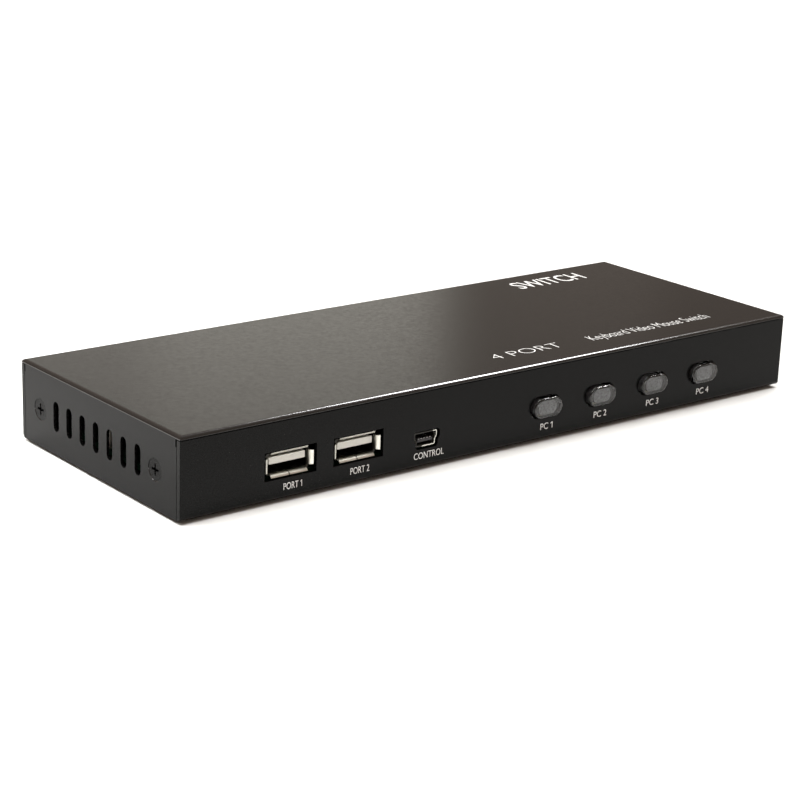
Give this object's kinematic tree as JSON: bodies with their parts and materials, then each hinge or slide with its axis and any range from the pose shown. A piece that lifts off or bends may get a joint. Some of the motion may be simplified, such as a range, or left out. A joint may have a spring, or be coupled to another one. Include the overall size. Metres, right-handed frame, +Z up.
{
  "type": "kvm switch",
  "caption": "Flat desktop box that switches one keyboard, mouse and display between computers: sockets and round-ended push buttons in the front, more sockets in the rear.",
  "frame": {"origin": "on the table, under the middle of the whole object, at the height of the feet's undersides", "axes": "+X along the front from left to right, +Y from the front panel to the rear panel, +Z up"},
  "size_m": [0.214, 0.0804, 0.0228],
  "materials": {
    "case_paint": "fine-textured dark powder coat",
    "cover_screw": "black coated steel",
    "foot_rubber": "matt black rubber",
    "board_green": "green solder mask",
    "standoff_brass": "machined",
    "screw_steel": "zinc plated",
    "port_shell": "bright tin plate",
    "port_tongue": "light grey moulded",
    "dark_insulator": "black moulded",
    "contact_gold": "gold flash",
    "smoke_clear": "smoke-clear moulded",
    "light_guide": "milky diffusing",
    "plunger_plastic": "dark moulded",
    "switch_plastic": "black moulded",
    "led_lens": "pale resin",
    "jack_plastic": "black moulded",
    "jack_pin": "nickel plated",
    "host_insulator": "black moulded",
    "chip_epoxy": "black epoxy",
    "sink_aluminium": "plain extruded",
    "crystal_can": "drawn can",
    "capacitor_can": "drawn can",
    "ferrite": "pressed ferrite",
    "ceramic": "fired ceramic",
    "nylon_white": "off-white moulded nylon",
    "contact_tin": "tin plated",
    "print_white": "silk-screened white ink"
  },
  "bodies": {
    "case": {"base_tray": "case_paint", "top_cover": "case_paint", "cover_screws": "cover_screw", "rubber_feet": "foot_rubber", "main_board": "board_green", "board_standoffs": "standoff_brass", "board_screws": "screw_steel", "front_port_shell_1": "port_shell", "front_port_insulator_1": "port_tongue", "front_port_contacts_1": "contact_gold", "front_port_shell_2": "port_shell", "front_port_insulator_2": "port_tongue", "front_port_contacts_2": "contact_gold", "control_port_shell": "port_shell", "control_port_insulator": "dark_insulator", "control_port_contacts": "contact_tin", "switch_body_1": "switch_plastic", "switch_body_2": "switch_plastic", "switch_body_3": "switch_plastic", "switch_body_4": "switch_plastic", "switch_frames": "screw_steel", "indicator_leds": "led_lens", "power_jack_body": "jack_plastic", "power_jack_pin": "jack_pin", "video_out_shell": "port_shell", "video_in_shell_1": "port_shell", "video_in_shell_2": "port_shell", "video_in_shell_3": "port_shell", "video_in_shell_4": "port_shell", "video_insulators": "dark_insulator", "video_contacts": "contact_gold", "host_port_shell_1": "port_shell", "host_port_shell_2": "port_shell", "host_port_shell_3": "port_shell", "host_port_shell_4": "port_shell", "host_port_insulators": "host_insulator", "host_port_contacts": "contact_gold", "main_chip": "chip_epoxy", "heat_sink": "sink_aluminium", "video_chips": "chip_epoxy", "control_chip": "chip_epoxy", "crystal": "crystal_can", "capacitors": "capacitor_can", "inductors": "ferrite", "board_header": "nylon_white", "header_pins": "contact_tin", "small_parts": "ceramic"},
    "button_1": {"button_cap_1": "smoke_clear", "button_core_1": "light_guide", "switch_plunger_1": "plunger_plastic"},
    "button_2": {"button_cap_2": "smoke_clear", "button_core_2": "light_guide", "switch_plunger_2": "plunger_plastic"},
    "button_3": {"button_cap_3": "smoke_clear", "button_core_3": "light_guide", "switch_plunger_3": "plunger_plastic"},
    "button_4": {"button_cap_4": "smoke_clear", "button_core_4": "light_guide", "switch_plunger_4": "plunger_plastic"}
  },
  "joints": [
    {"name": "button_1_press", "type": "slide", "parent": "case", "child": "button_1", "axis": [0, 1, 0], "range_m": [0, 0.0004], "stiffness_N_per_m": 2000},
    {"name": "button_2_press", "type": "slide", "parent": "case", "child": "button_2", "axis": [0, 1, 0], "range_m": [0, 0.0004], "stiffness_N_per_m": 2000},
    {"name": "button_3_press", "type": "slide", "parent": "case", "child": "button_3", "axis": [0, 1, 0], "range_m": [0, 0.0004], "stiffness_N_per_m": 2000},
    {"name": "button_4_press", "type": "slide", "parent": "case", "child": "button_4", "axis": [0, 1, 0], "range_m": [0, 0.0004], "stiffness_N_per_m": 2000}
  ]
}
